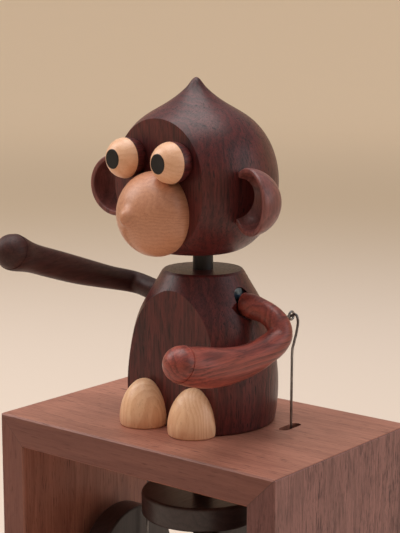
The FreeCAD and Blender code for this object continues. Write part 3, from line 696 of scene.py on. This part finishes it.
def node_dressings() -> list[Dressing]:
    """List the finish of every node of the frame.

    Returns:
        One dressing a node.
    """
    upright, across, facing = Grain.UPRIGHT, Grain.ALONG_X, Grain.ALONG_Y
    made = [
        Dressing("top_panel", BOX_WALNUT, across, (30.0, 20.0, 60.0)),
        Dressing("bottom_panel", BOX_WALNUT, across, (75.0, -14.0, 20.0)),
        Dressing("left_side_panel", BOX_WALNUT, upright, (20.0, 90.0, 0.0)),
        Dressing("right_side_panel", SIDE_WALNUT_PART_PAINTED_SHADE, upright, (-150.0, 30.0, 40.0)),
        Dressing("body", FIGURE_WALNUT, upright, (14.0, 36.0, 0.0)),
        Dressing("head", FIGURE_WALNUT, upright, (-9.0, 30.0, 70.0)),
        Dressing("muzzle", MUZZLE_MAPLE, facing, (4.0, -190.0, 0.0)),
        Dressing("neck_rod", BLACK_DOWEL),
        Dressing("head_disc", WHEEL_WALNUT, facing, (10.0, 30.0, 0.0)),
        Dressing("friction_wheel", WHEEL_WALNUT, upright, (20.0, 50.0, 5.0)),
        Dressing("crank_shaft", DOWEL, across),
        Dressing("crank_arm", BOX_WALNUT, upright, (-90.0, 24.0, 0.0)),
        Dressing("crank_pin", STEEL),
        Dressing("crank_knob", MAPLE, across, (12.0, 7.0, 0.0)),
        Dressing("shaft_cap", WHEEL_WALNUT, across, (16.0, -20.0, 0.0)),
    ]
    for side in Side:
        word, shift = side.word, PITH_STEP * side.value
        # The left arm takes the darker copy of the arm's walnut, which is painted shade.
        arm_finish = ARM_WALNUT if side is Side.RIGHT else LEFT_ARM_PAINTED_SHADE
        made += [
            Dressing(f"{word}_foot", FOOT_MAPLE_PAINTED_LIGHT, upright, (shift, 40.0, 11.0 * shift)),
            Dressing(f"{word}_eye", MAPLE, facing, (shift, -160.0, 3.0 * shift)),
            Dressing(f"{word}_eye_back", FIGURE_WALNUT, facing, (shift, 40.0, 0.0)),
            Dressing(f"{word}_pupil", BLACK_PUPIL),
            Dressing(f"{word}_ear", EAR_WALNUT_PART_PAINTED_LIGHT, upright, (shift, -25.0, 20.0)),
            Dressing(f"{word}_arm", arm_finish, facing, (shift, 12.0, 40.0 + shift)),
            Dressing(f"{word}_shoulder_pin", BLUED),
            Dressing(f"{word}_shoulder_washer", BLUED),
            Dressing(f"{word}_crank_wheel", WHEEL_WALNUT, upright, (shift, 33.0, 12.0)),
            Dressing(f"{word}_eccentric", WHEEL_WALNUT, upright, (2.0 * shift, 22.0, 0.0)),
        ]
    return made


class WireBender:
    """Bends a straight wire along a path with a Geometry Nodes tree."""

    def __init__(self, material: bpy.types.Material) -> None:
        """Build the tree once.

        Args:
            material: Finish of the wire.
        """
        self.material = material
        self.group = bpy.data.node_groups.new("BentWire", "GeometryNodeTree")
        for label, kind in (("Geometry", "NodeSocketGeometry"),
                            ("Wire Diameter", "NodeSocketFloat"),
                            ("Bend Radius", "NodeSocketFloat"), ("Bend Steps", "NodeSocketInt"),
                            ("Sides", "NodeSocketInt"), ("Finish", "NodeSocketMaterial")):
            self.group.interface.new_socket(name=label, in_out="INPUT", socket_type=kind)
        self.group.interface.new_socket(name="Geometry", in_out="OUTPUT",
                                        socket_type="NodeSocketGeometry")
        tree = Tree(self.group)
        get = tree.node("NodeGroupInput").outputs
        line = tree.node("GeometryNodeMeshToCurve", {"Mesh": get["Geometry"]})
        bends = tree.node("GeometryNodeFilletCurve", {"Curve": line.outputs["Curve"],
                                                      "Radius": get["Bend Radius"],
                                                      "Count": get["Bend Steps"],
                                                      "Limit Radius": True}, mode="POLY")
        half = tree.math("MULTIPLY", get["Wire Diameter"], 0.5)
        ring = tree.node("GeometryNodeCurvePrimitiveCircle",
                         {"Resolution": get["Sides"], "Radius": half}, mode="RADIUS")
        swept = tree.node("GeometryNodeCurveToMesh", {"Curve": bends.outputs[0],
                                                      "Profile Curve": ring.outputs["Curve"],
                                                      "Fill Caps": True})
        smooth = tree.node("GeometryNodeSetShadeSmooth", {"Geometry": swept.outputs["Mesh"]})
        real = tree.node("GeometryNodeRealizeInstances", {"Geometry": smooth.outputs[0]})
        dressed = tree.node("GeometryNodeSetMaterial", {"Geometry": real.outputs[0],
                                                        "Material": get["Finish"]})
        tree.node("NodeGroupOutput", {"Geometry": dressed.outputs[0]})

    def bend(self, name: str, paths: list[list[Vector]], diameter: float, radius: float,
             steps: int = 6, sides: int = 16) -> bpy.types.Object:
        """Make one wire piece.

        Args:
            name: Name of the piece.
            paths: Points of each run of wire, in mm.
            diameter: Diameter of the wire, in mm.
            radius: Radius of its bends, in mm.
            steps: Points in each bend.
            sides: Sides of the wire's section.

        Returns:
            The piece as a plain mesh at the origin.
        """
        mesh = bpy.data.meshes.new(name + "Path")
        points = [point * MM for path in paths for point in path]
        edges, first = [], 0
        for path in paths:
            edges += [(first + i, first + i + 1) for i in range(len(path) - 1)]
            first += len(path)
        mesh.from_pydata(points, edges, [])
        path_object = bpy.data.objects.new(name + "Path", mesh)
        bpy.context.scene.collection.objects.link(path_object)
        modifier = path_object.modifiers.new("BentWire", "NODES")
        modifier.node_group = self.group
        values = {"Wire Diameter": diameter * MM, "Bend Radius": radius * MM, "Bend Steps": steps,
                  "Sides": sides, "Finish": self.material}
        for item in self.group.interface.items_tree:
            if item.in_out == "INPUT" and item.name in values:
                modifier[item.identifier] = values[item.name]
        bpy.context.view_layer.update()
        graph = bpy.context.evaluated_depsgraph_get()
        result = bpy.data.meshes.new_from_object(path_object.evaluated_get(graph))
        result.name = name
        bpy.data.objects.remove(path_object)
        piece = bpy.data.objects.new(name, result)
        bpy.context.scene.collection.objects.link(piece)
        return piece


def smooth_run(points: list[tuple[float, float]], steps: int) -> list[tuple[float, float]]:
    """Lay a smooth run through some points.

    Args:
        points: The points, each outward and upward.
        steps: Parts that each span is divided into.

    Returns:
        The points of the run, from the first to the last.
    """
    def between(p: float, q: float, r: float, w: float, t: float) -> float:
        """Catmull-Rom value between q and r, with p before them and w after them."""
        return 0.5 * (2.0 * q + (r - p) * t + (2.0 * p - 5.0 * q + 4.0 * r - w) * t ** 2
                      + (3.0 * q - p - 3.0 * r + w) * t ** 3)

    ends = [points[0]] + points + [points[-1]]
    run = []
    for near in zip(ends[:-3], ends[1:-2], ends[2:-1], ends[3:]):
        run += [tuple(between(*values, step / steps) for values in zip(*near))
                for step in range(steps)]
    return run + [points[-1]]


@dataclass
class PushWire:
    """Spring-steel wire from an eccentric to the screw eye behind an elbow."""

    side: Side
    eye_middle: Vector
    ring_middle: Vector
    ring_join: float
    ring_radius: float = 12.08
    offset: float = 0.5
    wire: float = 1.0
    crook_steps: int = 6
    ring_steps: int = 72
    crook: tuple[tuple[float, float], ...] = (
        (0.0, -16.0), (0.2, -12.8), (1.05, -9.4), (2.0, -5.8), (2.5, -2.6), (2.3, -0.5),
        (1.4, 0.7), (0.35, 0.35), (-0.65, -0.1), (-1.6, -0.95), (-2.0, -2.4))

    def stem_path(self) -> list[Vector]:
        """Points of the stem and the crook at its top, from the ring up.

        Returns:
            The points in mm.
        """
        foot = self.ring_point(self.ring_join)
        up = self.eye_middle - foot
        up.x = 0.0
        reach = up.length
        up.normalize()
        out = Vector((float(self.side.value), 0.0, 0.0))
        run = [(0.0, -reach)] + smooth_run(list(self.crook), self.crook_steps)
        return [self.eye_middle + out * (self.offset + x) + up * z for x, z in run]

    def ring_point(self, angle: float) -> Vector:
        """Point of the ring at an angle from the back, upwards.

        Args:
            angle: The angle in degrees.

        Returns:
            The point in mm.
        """
        turn = math.radians(angle)
        return self.ring_middle + self.ring_radius * Vector((0.0, math.cos(turn), math.sin(turn)))

    def ring_path(self) -> list[Vector]:
        """Points of the ring that goes round the eccentric, ending where the stem starts.

        Returns:
            The points in mm.
        """
        return [self.ring_point(self.ring_join + 360.0 * i / self.ring_steps)
                for i in range(self.ring_steps + 1)]

    def build(self, bender: WireBender) -> bpy.types.Object:
        """Make the wire and let it stand for its plain CAD solid.

        Args:
            bender: The tool that bends wire.

        Returns:
            The piece.
        """
        word = self.side.word
        piece = bender.bend(f"{word}_push_wire", [self.ring_path(), self.stem_path()], self.wire,
                            self.wire / 2)
        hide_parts(f"{word}_push_rod")
        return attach(piece, f"rod_{word}")


@dataclass
class ScrewEye:
    """Small screw eye in the back of an elbow, its ring about X.

    The shank leaves the ring at its front, and the opening of the ring lies beside it.
    """

    side: Side
    middle: Vector
    reach: float
    ring_radius: float = 1.5
    wire: float = 0.9
    front: float = 180.0
    opening: float = 24.0
    ring_steps: int = 40

    def build(self, bender: WireBender) -> bpy.types.Object:
        """Make the eye as one bent wire with a small opening beside its shank.

        Args:
            bender: The tool that bends wire.

        Returns:
            The piece.
        """
        turns = [self.front + self.opening + (360.0 - self.opening) * i / self.ring_steps
                 for i in range(self.ring_steps + 1)]
        ring = [self.middle + self.ring_radius * Vector((0.0, math.cos(math.radians(a)),
                                                         math.sin(math.radians(a))))
                for a in turns]
        length = self.reach - self.ring_radius
        shank = [ring[-1], ring[-1] + Vector((0.0, -length, 0.0))]
        word = self.side.word
        piece = bender.bend(f"{word}_screw_eye", [ring, shank], self.wire, self.wire / 2)
        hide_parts(f"{word}_wire_eye")
        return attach(piece, f"arm_{word}")


@dataclass
class WireWork:
    """Both push wires and the screw eyes that they hang in."""

    right_eye: Offset = (32.5, 13.1, 154.9)
    left_eye: Offset = (-35.5, 12.0, 159.0)
    right_reach: float = 12.0
    left_reach: float = 10.9
    right_join: float = 68.0
    left_join: float = 50.0
    right_ring_x: float = 33.0
    left_ring_x: float = -36.0
    shaft_back: float = 4.4
    shaft_rise: float = 44.0
    throw: float = 5.5

    def build(self, effects: Effects) -> list[bpy.types.Object]:
        """Bend every wire.

        Args:
            effects: The shared groups.

        Returns:
            The pieces.
        """
        bender = WireBender(STEEL.material(effects, "wire"))
        lean = self.throw * math.sqrt(0.5)
        right_top, left_top = Vector(self.right_eye), Vector(self.left_eye)
        right_ring = Vector((self.right_ring_x, self.shaft_back + lean, self.shaft_rise + lean))
        left_ring = Vector((self.left_ring_x, self.shaft_back - lean, self.shaft_rise - lean))
        return [PushWire(Side.RIGHT, right_top, right_ring, self.right_join).build(bender),
                PushWire(Side.LEFT, left_top, left_ring, self.left_join).build(bender),
                ScrewEye(Side.RIGHT, right_top, self.right_reach).build(bender),
                ScrewEye(Side.LEFT, left_top, self.left_reach).build(bender)]


@dataclass(frozen=True)
class Lamp:
    """A soft square lamp. Its place and width are in metres, its power in watts."""

    name: str
    place: Offset
    width: float
    power: float
    colour: Colour

    def build(self, target: Vector) -> bpy.types.Object:
        """Stand the lamp in the scene.

        Args:
            target: Where it points, in m.

        Returns:
            The lamp.
        """
        data = bpy.data.lights.new(self.name, "AREA")
        data.shape, data.size = "SQUARE", self.width
        data.energy, data.color = self.power, self.colour
        lamp = bpy.data.objects.new(self.name, data)
        lamp.location = self.place
        turn = (target - Vector(self.place)).to_track_quat("-Z", "Y")
        lamp.rotation_euler = turn.to_euler()
        bpy.context.scene.collection.objects.link(lamp)
        return lamp


@dataclass
class Studio:
    """Pale round studio floor, soft lamps and the camera."""

    floor_radius: float = 2600.0
    cove_radius: float = 700.0
    wall_height: float = 1500.0
    floor_steps: int = 96
    cream: Colour = linear(224, 206, 190)
    beige: Colour = linear(214, 190, 162)
    beige_reach: tuple[float, float] = (500.0, 1600.0)
    glow_reach: tuple[float, float] = (700.0, 2900.0)
    glow: float = 0.5
    lamps: tuple[Lamp, ...] = (
        Lamp("window_left", (-1.0, -0.45, 1.0), 0.8, 7.5, (1.0, 0.97, 0.94)),
        Lamp("window_right", (1.1, 0.5, 0.6), 0.9, 3.2, (0.86, 0.93, 1.0)),
        Lamp("ceiling", (-0.15, 0.05, 1.5), 1.2, 15.5, (1.0, 0.98, 0.96)))
    lamp_target: Offset = (0.0, 0.0, 0.15)
    air: Colour = (0.95, 0.94, 0.93)
    air_strength: float = 0.36
    lens: float = 98.93
    camera_place: Offset = (0.34445, -0.42649, 0.26873)
    camera_down: float = 10.03
    camera_turn: float = 39.01
    sensor: float = 36.0
    clip: tuple[float, float] = (0.02, 20.0)

    def floor_profile(self) -> list[tuple[float, float]]:
        """Half outline of the floor, its cove and the wall.

        Returns:
            Radius and height of each point, in mm.
        """
        flat = [(share * self.floor_radius, 0.0) for share in (0.08, 0.3, 0.6, 1.0)]
        cove = [(self.floor_radius + self.cove_radius * math.sin(math.radians(a)),
                 self.cove_radius * (1.0 - math.cos(math.radians(a)))) for a in range(6, 91, 6)]
        return flat + cove + [(self.floor_radius + self.cove_radius, self.wall_height)]

    def build_floor(self) -> bpy.types.Object:
        """Make the floor and wall as one lathe shape.

        Returns:
            The floor.
        """
        shape = bmesh.new()
        rings = []
        steps = self.floor_steps
        for radius, height in self.floor_profile():
            rings.append([shape.verts.new((radius * MM * math.cos(2 * math.pi * i / steps),
                                           radius * MM * math.sin(2 * math.pi * i / steps),
                                           height * MM)) for i in range(steps)])
        shape.faces.new(rings[0])
        for inner, outer in zip(rings[:-1], rings[1:]):
            for i in range(steps):
                j = (i + 1) % steps
                shape.faces.new((inner[i], outer[i], outer[j], inner[j]))
        bmesh.ops.recalc_face_normals(shape, faces=shape.faces)
        mesh = bpy.data.meshes.new("studio_floor")
        shape.to_mesh(mesh)
        shape.free()
        for face in mesh.polygons:
            face.use_smooth = True
        floor = bpy.data.objects.new("studio_floor", mesh)
        bpy.context.scene.collection.objects.link(floor)
        floor.data.materials.append(self.floor_material())
        return floor

    def floor_material(self) -> bpy.types.Material:
        """Cream floor that turns to warm beige towards the wall, with a painted glow that
        brightens the far wall for camera and glossy rays, though it is no lamp.

        Returns:
            The material.
        """
        material, tree, shader = start_material("StudioCream")
        place = object_millimetres(tree)
        split = tree.node("ShaderNodeSeparateXYZ", {0: place})
        flat = tree.node("ShaderNodeCombineXYZ", {0: split.outputs[0], 1: split.outputs[1]})
        away = tree.node("ShaderNodeVectorMath", {0: flat.outputs[0]}, operation="LENGTH")
        tree.feed(shader.inputs["Base Color"],
                  tree.blend(tree.step(away.outputs["Value"], *self.beige_reach),
                             self.cream, self.beige))
        # Painted glow: the wall emits its beige, more with distance, only where a camera, glossy
        # or transmission ray sees it.
        ray = tree.node("ShaderNodeLightPath")
        shown = tree.math("MAXIMUM", ray.outputs["Is Camera Ray"], ray.outputs["Is Glossy Ray"])
        shown = tree.math("MAXIMUM", shown, ray.outputs["Is Transmission Ray"])
        glow = tree.math("MULTIPLY", tree.step(away.outputs["Value"], *self.glow_reach),
                         self.glow)
        tree.feed(shader.inputs["Emission Color"], self.beige)
        tree.feed(shader.inputs["Emission Strength"], tree.math("MULTIPLY", shown, glow))
        shader.inputs["Roughness"].default_value = 0.9
        shader.inputs["Specular IOR Level"].default_value = 0.1
        return material

    def light(self) -> None:
        """Set the lamps and the world."""
        for lamp in self.lamps:
            lamp.build(Vector(self.lamp_target))
        world = bpy.data.worlds.new("StudioAir")
        bpy.context.scene.world = world
        world.use_nodes = True
        background = world.node_tree.nodes["Background"]
        background.inputs["Color"].default_value = (*self.air, 1.0)
        background.inputs["Strength"].default_value = self.air_strength

    def add_camera(self) -> bpy.types.Object:
        """Stand the camera right of the front, a little above the figure's waist.

        Returns:
            The camera.
        """
        data = bpy.data.cameras.new("camera")
        data.lens = self.lens
        data.sensor_width = self.sensor
        data.clip_start, data.clip_end = self.clip
        camera = bpy.data.objects.new("camera", data)
        camera.location = self.camera_place
        camera.rotation_euler = (math.radians(90.0 - self.camera_down), 0.0,
                                 math.radians(self.camera_turn))
        bpy.context.scene.collection.objects.link(camera)
        bpy.context.scene.camera = camera
        return camera

    def build(self) -> None:
        """Set up everything round the object."""
        self.build_floor()
        self.light()
        self.add_camera()
        bpy.context.scene.view_settings.view_transform = "Standard"


def main() -> None:
    """Dress the frame and set the scene."""
    logging.basicConfig(level=logging.INFO, format="%(name)s: %(message)s")
    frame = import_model()
    effects = Effects()
    for dressing in node_dressings():
        dressing.apply(effects, frame["nodes"][dressing.node])
    for piece in WireWork().build(effects):
        LOG.info("bent %s", piece.name)
    Studio().build()


if __name__ == "__main__":
    main()
